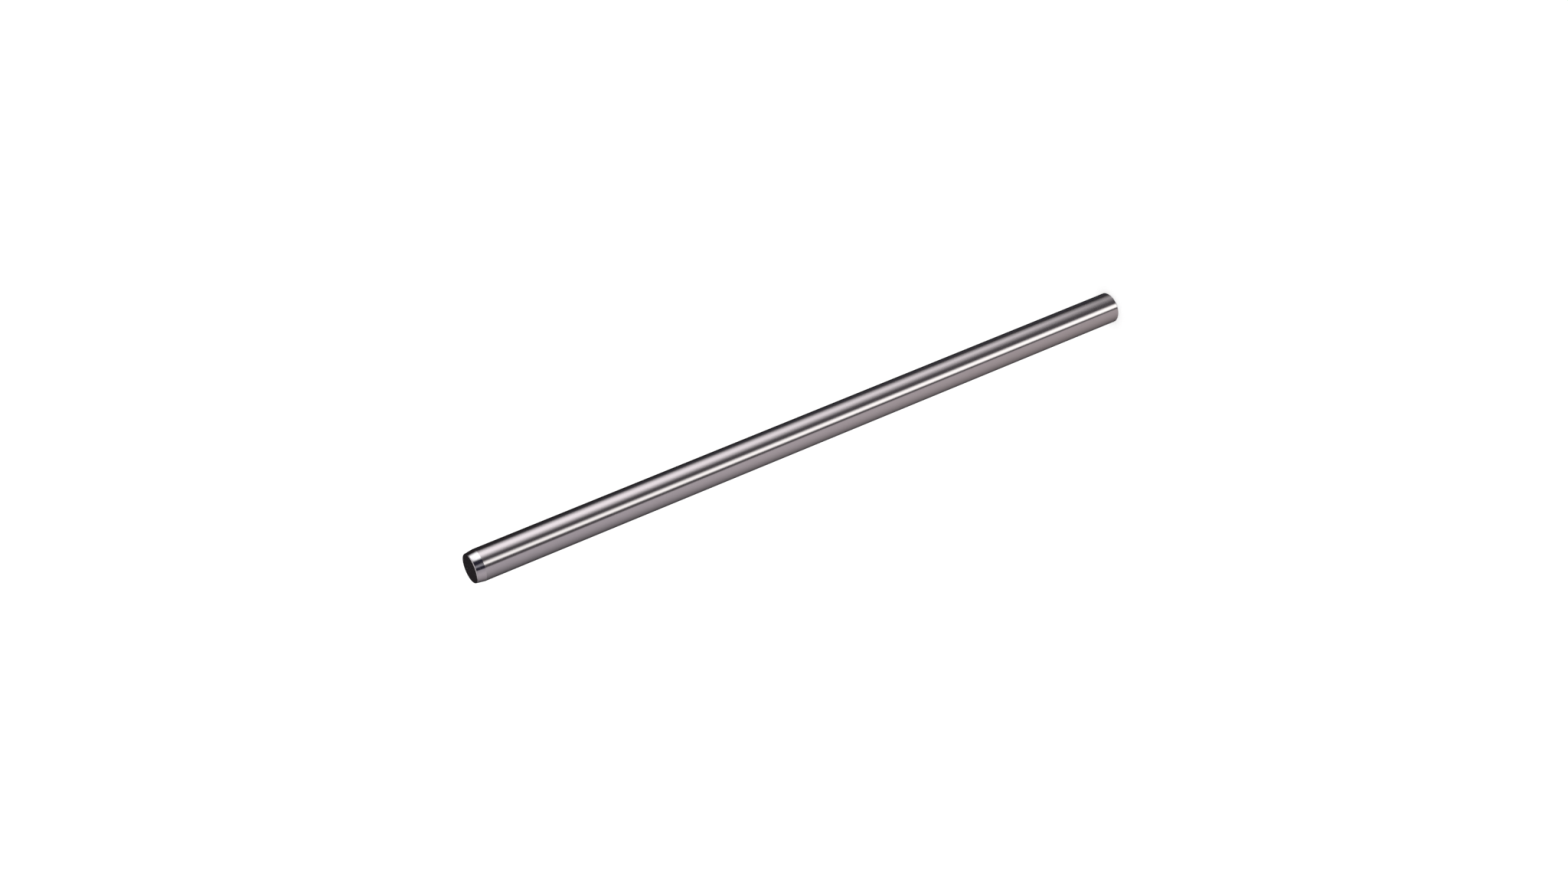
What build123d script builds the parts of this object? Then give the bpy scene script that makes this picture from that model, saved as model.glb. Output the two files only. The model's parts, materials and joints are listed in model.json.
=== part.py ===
"""A plain optical post: a round ground steel bar that stands on its base and carries clamps and holders.

The post stands along +Z. The origin is the centre of the base face, and the tapered nose is at the top.
Lengths are millimetres and angles are degrees.
"""

from build123d import *

import os
from math import radians, tan

# Bar
POST_DIAMETER = 12.7
POST_LENGTH = 300.0

# Nose: a slow lead-in taper over which clamps and holders are slid, and the round that breaks its edge
NOSE_FACE_DIAMETER = 11.6
NOSE_TAPER_LENGTH = 3.6
NOSE_EDGE_RADIUS = 0.3

# Base: the chamfer round the foot
BASE_CHAMFER = 0.2

# Tapped hole in the base, drawn at its tapping drill; the thread takes a screw of the nominal diameter
SCREW_DIAMETER = 6.0
TAPPING_DRILL_DIAMETER = 5.0
TAPPED_DEPTH = 13.0
DRILL_POINT_ANGLE = 118.0
COUNTERSINK_MARGIN = 0.3
COUNTERSINK_ANGLE = 90.0

# Worked out from the sizes above
post_radius = POST_DIAMETER / 2
nose_radius = NOSE_FACE_DIAMETER / 2
taper_start = POST_LENGTH - NOSE_TAPER_LENGTH
drill_radius = TAPPING_DRILL_DIAMETER / 2
countersink_radius = SCREW_DIAMETER / 2 + COUNTERSINK_MARGIN
drill_point_height = drill_radius / tan(radians(DRILL_POINT_ANGLE / 2))

with BuildPart() as post:
    # Turned outside: one half section, from the foot up to the nose, revolved about the post's axis
    with BuildSketch(Plane.XZ):
        with BuildLine():
            Polyline(
                (0, 0),
                (post_radius, 0),
                (post_radius, taper_start),
                (nose_radius, POST_LENGTH),
                (0, POST_LENGTH),
                close=True,
            )
        make_face()
    revolve(axis=Axis.Z)

    # Edges: the foot is chamfered, and the nose's rim is rounded
    foot_rim = post.faces().sort_by(Axis.Z)[0].edges()
    chamfer(foot_rim, BASE_CHAMFER)
    nose_rim = post.faces().sort_by(Axis.Z)[-1].edges()
    fillet(nose_rim, NOSE_EDGE_RADIUS)

    # Base hole: countersunk mouth, tapped length and the drill's point beyond it
    base_face = post.faces().sort_by(Axis.Z)[0]
    with Locations(base_face):
        CounterSinkHole(
            radius=drill_radius,
            counter_sink_radius=countersink_radius,
            depth=TAPPED_DEPTH,
            counter_sink_angle=COUNTERSINK_ANGLE,
        )
    with Locations((0, 0, TAPPED_DEPTH)):
        Cone(
            bottom_radius=drill_radius,
            top_radius=0,
            height=drill_point_height,
            align=(Align.CENTER, Align.CENTER, Align.MIN),
            mode=Mode.SUBTRACT,
        )

os.makedirs("parts", exist_ok=True)
post.part.label = "post"
export_step(post.part, "parts/post.step")
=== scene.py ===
import json
import math
from collections import namedtuple

import bmesh
import bpy
from mathutils import Matrix, Vector


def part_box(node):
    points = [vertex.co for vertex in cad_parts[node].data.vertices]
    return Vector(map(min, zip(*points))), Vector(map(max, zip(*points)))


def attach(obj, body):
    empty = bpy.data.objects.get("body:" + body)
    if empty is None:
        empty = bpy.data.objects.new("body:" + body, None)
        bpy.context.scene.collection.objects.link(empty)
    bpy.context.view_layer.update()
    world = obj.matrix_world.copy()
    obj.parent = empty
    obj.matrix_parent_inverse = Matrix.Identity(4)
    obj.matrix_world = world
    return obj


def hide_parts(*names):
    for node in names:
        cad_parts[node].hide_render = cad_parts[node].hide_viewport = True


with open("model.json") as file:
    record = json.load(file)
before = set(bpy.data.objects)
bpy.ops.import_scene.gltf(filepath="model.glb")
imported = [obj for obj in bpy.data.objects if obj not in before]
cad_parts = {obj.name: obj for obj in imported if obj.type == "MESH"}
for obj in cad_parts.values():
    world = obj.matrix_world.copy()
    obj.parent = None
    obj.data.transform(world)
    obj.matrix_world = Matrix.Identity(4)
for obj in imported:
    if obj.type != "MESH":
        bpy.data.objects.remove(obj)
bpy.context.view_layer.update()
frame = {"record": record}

# Sizes of the post, in metres, read from the frame where it holds them
DIMENSIONS = {mount["name"]: mount["dims"] for mount in frame["record"]["mounts"]}
MILLIMETRE = 0.001
BASE_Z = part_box("post")[0].z
NOSE_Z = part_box("post")[1].z
POST_RADIUS = DIMENSIONS["shaft"]["r_mm"] * MILLIMETRE
SHAFT_LENGTH = DIMENSIONS["shaft"]["length_mm"] * MILLIMETRE
DRILL_RADIUS = DIMENSIONS["base_thread"]["r_mm"] * MILLIMETRE
THREAD_LENGTH = DIMENSIONS["base_thread"]["length_mm"] * MILLIMETRE
FOOT_CHAMFER = 0.0002
NOSE_FACE_RADIUS = 0.0058
NOSE_EDGE_RADIUS = 0.0003
COUNTERSINK_RADIUS = 0.0033
HOLE_DEPTH = COUNTERSINK_RADIUS - DRILL_RADIUS + THREAD_LENGTH
DRILL_POINT_HALF_ANGLE = math.radians(59)

# Thread of the base hole, which runs out over its last turns; the shares are of its pitch
THREAD_PITCH = 0.001
THREAD_DEPTH = 0.0005
THREAD_ROOT_SHARE = 0.125
THREAD_FLANK_SHARE = 0.289
THREAD_RUNOUT_TURNS = 1.5

# Fineness of the turned mesh
SEGMENTS = 192
SHAFT_ROWS = 30
EDGE_ROWS = 8
ROWS_PER_PITCH = 20

# Steel: its colours, and the finish of each surface with the depth of its tool marks in metres
Finish = namedtuple("Finish", "name colour roughness anisotropy marks depth")
STEEL = (0.62, 0.565, 0.59)
CUT_STEEL = (0.5, 0.47, 0.48)
SHAFT, TURNED, FACED, TAPPED = range(4)
FINISHES = (
    Finish("ground_steel", STEEL, 0.13, 0.6, "round", 4e-7),
    Finish("turned_steel", STEEL, 0.1, 0.4, "round", 4e-7),
    Finish("faced_steel", STEEL, 0.1, 0.5, "facing", 2e-7),
    Finish("tapped_steel", CUT_STEEL, 0.3, 0.0, "round", 1e-6),
)

# Tool marks and the faint mottle: lengths in metres, and the octaves of the noise that makes them
MARK_SPACING = 0.00014
MARK_LENGTH = 0.011
MARK_OCTAVES = 4.0
MARK_OCTAVE_SHARE = 0.6
MARK_ROUGH_SHARE = 0.15
FACING_SPACING = 0.0002
FACING_OCTAVES = 1.0
MOTTLE_SIZE = 0.0045
MOTTLE_OCTAVES = 3.0
MOTTLE_DARK_SHARE = 0.97
MOTTLE_ROUGH_SHARES = (0.9, 1.1)
NOISE_LOW, NOISE_HIGH = 0.3, 0.7
QUARTER_TURN = 0.25

# Camera, fitted to the photograph's outline of the post
PHOTO_WIDTH = 2048
FOCAL_PIXELS = 3218.7
SENSOR_WIDTH = 36.0
CAMERA_AIM = Vector((-0.00063, 0.0, 0.16284))
CAMERA_DISTANCE = 0.95854
CAMERA_ELEVATION = math.radians(25.683)
CAMERA_ROLL = math.radians(-112.256)
CLIP_START = 0.01

# Studio: a white backdrop all round. Before it stand black flags, lights and cards, which only the metal
# shows. Angles are in degrees: azimuth 0 is the side of the photograph's camera, 90 is +X, and elevation is
# above the horizon. Seen from that camera, the shaft mirrors what lies between two levels, one for its nose
# and one for its foot, and the taper mirrors what lies near the horizon.
WHITE = (1.0, 1.0, 1.0)
SOFTBOX_WHITE = (0.97, 1.05, 1.03)
LAMP_WHITE = (1.0, 1.04, 0.98)
COOL_WHITE = (0.95, 1.0, 1.07)
CARD_GREY = (1.02, 0.955, 0.99)
COOL_GREY = (0.987, 0.965, 1.014)
WARM_GREY = (1.045, 0.963, 0.94)
DIM_BLUE = (0.2, 0.3, 1.0)
SPILL_BLUE = (0.85, 1.0, 1.3)
NOSE_LEVEL, FOOT_LEVEL = -18.0, -33.5
HALF_TURN = 180.0
FLAG_GLOW = (0.025, 0.0225, 0.0245)
FLAG_TOP, FLAG_FADE = 42.0, 10.0

# A panel reaches from a lowest to a highest elevation, and its fade is half the widths over which those two
# edges fade. Its spans give its glow and its first and last azimuth at the levels of the nose and the foot.
# With no span for the foot, the nose's holds at both levels. Its soft is half the widths over which its sides
# fade, the first azimuth's side and then the last's.
Span = namedtuple("Span", "glow first last")
Panel = namedtuple("Panel", "name colour reach fade soft nose foot", defaults=(None,))
PANELS = (
    Panel("softbox", SOFTBOX_WHITE, reach=(-7.5, 2.8), fade=(2, 1.5), soft=(10, 16),
          nose=Span(1.75, 37, 94)),
    Panel("upper softbox", SOFTBOX_WHITE, reach=(9, 40), fade=(2, 10), soft=(10, 16),
          nose=Span(0.6, 37, 95)),
    Panel("softbox on the table", WHITE, reach=(-25.6, -7.5), fade=(6, 2), soft=(20.5, 21.5),
          nose=Span(1.36, 43.5, 89), foot=Span(1.31, 45.7, 101)),
    Panel("softbox's far end", WHITE, reach=(-33.3, -25.6), fade=(0.8, 6), soft=(27, 25),
          nose=Span(1.15, 51.4, 84.3)),
    Panel("softbox's spill", SPILL_BLUE, reach=(-80, -19.2), fade=(8, 1.2), soft=(10, 10),
          nose=Span(0.026, 104, 124), foot=Span(0.03, 114, 140)),
    Panel("strip light", LAMP_WHITE, reach=(-80, -3.5), fade=(8, 2.5), soft=(6, 10),
          nose=Span(1.37, -13, 6.4), foot=Span(1.68, -20.5, 4.3)),
    Panel("dim end of the strip", COOL_WHITE, reach=(-1, 12), fade=(2.5, 6), soft=(7, 9),
          nose=Span(0.38, -12.5, 1.0)),
    Panel("grey card", COOL_GREY, reach=(-26, 20), fade=(9, 10), soft=(60, 5),
          nose=Span(0.445, -109, -35), foot=Span(0.53, -118, -32)),
    Panel("grey card on the table", WARM_GREY, reach=(-80, -26), fade=(8, 9), soft=(60, 5),
          nose=Span(0.53, -109, -35), foot=Span(0.41, -118, -32)),
    Panel("card's outer part", CARD_GREY, reach=(-12, 20), fade=(3, 10), soft=(40, 15),
          nose=Span(0.13, -125, -54)),
    Panel("front fill", COOL_GREY, reach=(-80, -10), fade=(8, 4), soft=(40, 40),
          nose=Span(0.08, -60, 60), foot=Span(0.084, -60, 60)),
    Panel("blue fill", DIM_BLUE, reach=(-12, 15), fade=(3, 10), soft=(15, 15),
          nose=Span(0.02, -50, 45)),
    Panel("back strip light", WHITE, reach=(-30, -2), fade=(6, 6), soft=(5, 5),
          nose=Span(1.2, 171, 189)),
)

# Floor, just under the foot
FLOOR_COLOUR = (0.8, 0.8, 0.8, 1.0)
FLOOR_LIFT = 0.34
FLOOR_RADIUS = 12.0
FLOOR_SEGMENTS = 96
FLOOR_GAP = 0.00005


# Nodes

def add_node(tree, kind, inputs=(), **settings):
    """A new node; inputs maps its sockets to values or to other nodes' outputs."""
    node = tree.nodes.new(kind)
    for key, value in settings.items():
        setattr(node, key, value)
    for key, value in dict(inputs).items():
        if isinstance(value, bpy.types.NodeSocket):
            tree.links.new(value, node.inputs[key])
        else:
            node.inputs[key].default_value = value
    return node


def maths(tree, operation, *values):
    """The output of one Math node."""
    return add_node(tree, "ShaderNodeMath", enumerate(values), operation=operation).outputs[0]


def vector_maths(tree, operation, *values, output="Vector"):
    """An output of one Vector Math node."""
    return add_node(tree, "ShaderNodeVectorMath", enumerate(values), operation=operation).outputs[output]


def ramp(tree, value, start, end, low, high, kind="LINEAR"):
    """value mapped from start..end to low..high, and held there beyond the ends."""
    inputs = {"Value": value, "From Min": start, "From Max": end, "To Min": low, "To Max": high}
    return add_node(tree, "ShaderNodeMapRange", inputs, interpolation_type=kind).outputs["Result"]


def edge(tree, inside, soft):
    """A soft edge: 1 where inside is well above zero and 0 where it is well below."""
    return ramp(tree, inside, -soft, soft, 0.0, 1.0, "SMOOTHSTEP")


# Steel

def round_marks(tree, place):
    """Height of the fine marks that run round the post, one beside the other along it."""
    scales = (1 / MARK_LENGTH, 1 / MARK_LENGTH, 1 / MARK_SPACING)
    inputs = {
        "Vector": vector_maths(tree, "MULTIPLY", place, scales),
        "Scale": 1.0,
        "Detail": MARK_OCTAVES,
        "Roughness": MARK_OCTAVE_SHARE,
    }
    return add_node(tree, "ShaderNodeTexNoise", inputs).outputs["Fac"]


def facing_marks(tree, place):
    """Height of the concentric marks that a facing tool leaves on an end."""
    flat = vector_maths(tree, "MULTIPLY", place, (1.0, 1.0, 0.0))
    radius = vector_maths(tree, "LENGTH", flat, output="Value")
    inputs = {"W": radius, "Scale": 1 / FACING_SPACING, "Detail": FACING_OCTAVES}
    return add_node(tree, "ShaderNodeTexNoise", inputs, noise_dimensions="1D").outputs["Fac"]


def steel_material(finish):
    """Bare steel with its tool marks, and a faint mottle in its colour and gloss."""
    material = bpy.data.materials.new(finish.name)
    material.use_nodes = True
    tree = material.node_tree
    tree.nodes.clear()
    place = add_node(tree, "ShaderNodeTexCoord").outputs["Object"]
    marks = facing_marks if finish.marks == "facing" else round_marks
    height = marks(tree, place)
    bump = add_node(tree, "ShaderNodeBump", {"Height": height, "Strength": 1.0, "Distance": finish.depth})
    inputs = {"Vector": place, "Scale": 1 / MOTTLE_SIZE, "Detail": MOTTLE_OCTAVES}
    mottle = add_node(tree, "ShaderNodeTexNoise", inputs).outputs["Fac"]
    dull = ramp(tree, mottle, NOISE_LOW, NOISE_HIGH, *MOTTLE_ROUGH_SHARES)
    dull = maths(tree, "ADD", dull, maths(tree, "MULTIPLY", height, MARK_ROUGH_SHARE))
    tint = add_node(tree, "ShaderNodeMix", {
        "Factor": ramp(tree, mottle, NOISE_LOW, NOISE_HIGH, 0.0, 1.0),
        "A": (*(MOTTLE_DARK_SHARE * part for part in finish.colour), 1.0),
        "B": (*finish.colour, 1.0),
    }, data_type="RGBA", blend_type="MIX")
    shader = add_node(tree, "ShaderNodeBsdfPrincipled", {
        "Base Color": tint.outputs["Result"],
        "Metallic": 1.0,
        "Roughness": maths(tree, "MULTIPLY", dull, finish.roughness),
        "Normal": bump.outputs["Normal"],
        "Anisotropic": finish.anisotropy,
        "Anisotropic Rotation": QUARTER_TURN,
        "Tangent": add_node(tree, "ShaderNodeTangent", direction_type="RADIAL", axis="Z").outputs["Tangent"],
    })
    add_node(tree, "ShaderNodeOutputMaterial", {"Surface": shader.outputs["BSDF"]})
    return material


# Post

# A row's finish is that of the surface that ends at it, and a sharp row is a crisp edge
Row = namedtuple("Row", "radius height finish sharp")


def held(value):
    """value kept between 0 and 1."""
    return min(max(value, 0.0), 1.0)


def thread_groove(angle, height):
    """How far the thread's groove is cut into the hole's wall."""
    turn = (height / THREAD_PITCH - angle / (2 * math.pi)) % 1.0
    from_root = min(turn, 1.0 - turn) - THREAD_ROOT_SHARE / 2
    cut = 1.0 - held(from_root / THREAD_FLANK_SHARE)
    turns_left = (BASE_Z + HOLE_DEPTH - height) / THREAD_PITCH
    fade = held(turns_left / THREAD_RUNOUT_TURNS)
    return THREAD_DEPTH * cut * fade


def post_profile():
    """The rows of the turned section, from the nose's face down the outside to the hole's mouth."""
    shaft_top = BASE_Z + FOOT_CHAMFER + SHAFT_LENGTH
    slope = math.atan2(POST_RADIUS - NOSE_FACE_RADIUS, NOSE_Z - shaft_top)
    face_radius = NOSE_FACE_RADIUS - NOSE_EDGE_RADIUS * math.tan((math.pi / 2 - slope) / 2)
    foot_radius = POST_RADIUS - FOOT_CHAMFER
    shares = [step / EDGE_ROWS for step in range(1, EDGE_ROWS + 1)]
    rows = [Row(face_radius * share, NOSE_Z, FACED, False) for share in shares]
    for share in shares:
        angle = math.pi / 2 + (slope - math.pi / 2) * share
        radius = face_radius + NOSE_EDGE_RADIUS * math.cos(angle)
        rows.append(Row(radius, NOSE_Z - NOSE_EDGE_RADIUS * (1 - math.sin(angle)), TURNED, False))
    rows.append(Row(POST_RADIUS, shaft_top, TURNED, True))
    for row in range(1, SHAFT_ROWS + 1):
        height = shaft_top - SHAFT_LENGTH * row / SHAFT_ROWS
        rows.append(Row(POST_RADIUS, height, SHAFT, row == SHAFT_ROWS))
    rows.append(Row(foot_radius, BASE_Z, TURNED, True))
    for share in shares:
        radius = foot_radius + (COUNTERSINK_RADIUS - foot_radius) * share
        rows.append(Row(radius, BASE_Z, FACED, share == 1.0))
    return rows


def hole_heights():
    """Heights of the rows up the hole, from the mouth to the end of the drill's full diameter."""
    count = round(HOLE_DEPTH / THREAD_PITCH * ROWS_PER_PITCH)
    return [BASE_Z + HOLE_DEPTH * step / count for step in range(1, count + 1)]


def make_post():
    """The whole post as one turned mesh, with the thread cut in its hole."""
    mesh = bmesh.new()
    angles = [2 * math.pi * i / SEGMENTS for i in range(SEGMENTS)]
    sharp_rings = []

    def ring(radii, height):
        points = [(r * math.cos(angle), r * math.sin(angle), height) for r, angle in zip(radii, angles)]
        return [mesh.verts.new(point) for point in points]

    def skin(upper, lower, finish):
        for i in range(SEGMENTS):
            j = (i + 1) % SEGMENTS
            if len(upper) == 1:
                corners = (upper[0], lower[i], lower[j])
            elif len(lower) == 1:
                corners = (upper[j], upper[i], lower[0])
            else:
                corners = (upper[j], upper[i], lower[i], lower[j])
            face = mesh.faces.new(corners)
            face.material_index = finish
            face.smooth = True

    last = [mesh.verts.new((0.0, 0.0, NOSE_Z))]
    for row in post_profile():
        current = ring([row.radius] * SEGMENTS, row.height)
        skin(last, current, row.finish)
        if row.sharp:
            sharp_rings.append(current)
        last = current
    for height in hole_heights():
        mouth = COUNTERSINK_RADIUS - (height - BASE_Z)
        current = ring([max(mouth, DRILL_RADIUS + thread_groove(angle, height)) for angle in angles], height)
        skin(last, current, TAPPED)
        last = current
    sharp_rings.append(last)
    point_z = BASE_Z + HOLE_DEPTH + DRILL_RADIUS / math.tan(DRILL_POINT_HALF_ANGLE)
    skin(last, [mesh.verts.new((0.0, 0.0, point_z))], TAPPED)

    for vertices in sharp_rings:
        for i in range(SEGMENTS):
            mesh.edges.get((vertices[i], vertices[(i + 1) % SEGMENTS])).smooth = False
    bmesh.ops.recalc_face_normals(mesh, faces=mesh.faces)
    data = bpy.data.meshes.new("turned_post")
    mesh.to_mesh(data)
    mesh.free()
    for finish in FINISHES:
        data.materials.append(steel_material(finish))
    post = bpy.data.objects.new("turned_post", data)
    bpy.context.scene.collection.objects.link(post)
    return post


post = make_post()
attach(post, "root")
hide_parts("post")


# Studio

def panel_shine(tree, panel, azimuth, elevation):
    """The light that comes from a panel in the given direction."""
    light, first, last = (
        ramp(tree, elevation, FOOT_LEVEL, NOSE_LEVEL, at_foot, at_nose)
        for at_foot, at_nose in zip(panel.foot or panel.nose, panel.nose)
    )
    middle = (panel.nose.first + panel.nose.last) / 2
    turned = maths(tree, "WRAP", azimuth, middle + HALF_TURN, middle - HALF_TURN)
    lowest, highest = panel.reach
    for inside, soft in (
        (maths(tree, "SUBTRACT", turned, first), panel.soft[0]),
        (maths(tree, "SUBTRACT", last, turned), panel.soft[1]),
        (maths(tree, "SUBTRACT", elevation, lowest), panel.fade[0]),
        (maths(tree, "SUBTRACT", highest, elevation), panel.fade[1]),
    ):
        light = maths(tree, "MULTIPLY", light, edge(tree, inside, soft))
    inputs = {0: panel.colour, "Scale": light}
    shine = add_node(tree, "ShaderNodeVectorMath", inputs, operation="SCALE", label=panel.name)
    return shine.outputs["Vector"]


def make_world():
    """The white backdrop, and for the metal the flags, lights and cards that stand before it."""
    world = bpy.data.worlds.new("studio")
    bpy.context.scene.world = world
    world.use_nodes = True
    # No rays are aimed at the world as at a lamp, because those would not count as mirrored ones
    world.cycles.sampling_method = "NONE"
    tree = world.node_tree
    tree.nodes.clear()
    direction = add_node(tree, "ShaderNodeTexCoord").outputs["Generated"]
    x, y, z = add_node(tree, "ShaderNodeSeparateXYZ", {"Vector": direction}).outputs
    azimuth = maths(tree, "DEGREES", maths(tree, "ARCTAN2", x, maths(tree, "MULTIPLY", y, -1.0)))
    elevation = maths(tree, "DEGREES", maths(tree, "ARCSINE", z))
    flagged = edge(tree, maths(tree, "SUBTRACT", FLAG_TOP, elevation), FLAG_FADE)
    inputs = {"Factor": flagged, "A": WHITE, "B": FLAG_GLOW}
    glow = add_node(tree, "ShaderNodeMix", inputs, data_type="VECTOR").outputs["Result"]
    for panel in PANELS:
        glow = vector_maths(tree, "ADD", glow, panel_shine(tree, panel, azimuth, elevation))
    backdrop = add_node(tree, "ShaderNodeBackground", {"Color": (*WHITE, 1.0), "Strength": 1.0})
    mirrored = add_node(tree, "ShaderNodeBackground", {"Color": glow, "Strength": 1.0})
    metal = add_node(tree, "ShaderNodeLightPath").outputs["Is Glossy Ray"]
    both = add_node(tree, "ShaderNodeMixShader", {0: metal, 1: backdrop.outputs[0], 2: mirrored.outputs[0]})
    add_node(tree, "ShaderNodeOutputWorld", {"Surface": both.outputs[0]})


def make_floor():
    """A white floor with the post's soft shadow, lit by the backdrop and lifted to white for the camera."""
    material = bpy.data.materials.new("white_floor")
    material.use_nodes = True
    tree = material.node_tree
    tree.nodes.clear()
    seen = add_node(tree, "ShaderNodeLightPath").outputs["Is Camera Ray"]
    lift = maths(tree, "MULTIPLY", seen, FLOOR_LIFT)
    shade = add_node(tree, "ShaderNodeBsdfDiffuse", {"Color": FLOOR_COLOUR})
    light = add_node(tree, "ShaderNodeEmission", {"Color": (*WHITE, 1.0), "Strength": lift})
    both = add_node(tree, "ShaderNodeAddShader", {0: shade.outputs[0], 1: light.outputs[0]})
    add_node(tree, "ShaderNodeOutputMaterial", {"Surface": both.outputs[0]})
    mesh = bmesh.new()
    bmesh.ops.create_circle(mesh, cap_ends=True, radius=FLOOR_RADIUS, segments=FLOOR_SEGMENTS)
    data = bpy.data.meshes.new("floor")
    mesh.to_mesh(data)
    mesh.free()
    data.materials.append(material)
    floor = bpy.data.objects.new("floor", data)
    floor.location.z = BASE_Z - FLOOR_GAP
    # The metal mirrors the studio's panels below the horizon, and not a white floor
    floor.visible_glossy = False
    bpy.context.scene.collection.objects.link(floor)


def make_camera():
    """The photograph's camera: it looks down along +Y, rolled so that the nose is at the lower left."""
    data = bpy.data.cameras.new("camera")
    data.sensor_width = SENSOR_WIDTH
    data.lens = FOCAL_PIXELS / PHOTO_WIDTH * SENSOR_WIDTH
    data.clip_start = CLIP_START
    camera = bpy.data.objects.new("camera", data)
    tilt = Matrix.Rotation(math.pi / 2 - CAMERA_ELEVATION, 4, "X")
    roll = Matrix.Rotation(CAMERA_ROLL, 4, "Z")
    back = Vector((0.0, -math.cos(CAMERA_ELEVATION), math.sin(CAMERA_ELEVATION)))
    camera.matrix_world = Matrix.Translation(CAMERA_AIM + back * CAMERA_DISTANCE) @ tilt @ roll
    bpy.context.scene.collection.objects.link(camera)
    bpy.context.scene.camera = camera


make_world()
make_floor()
make_camera()
bpy.context.scene.view_settings.view_transform = "Standard"
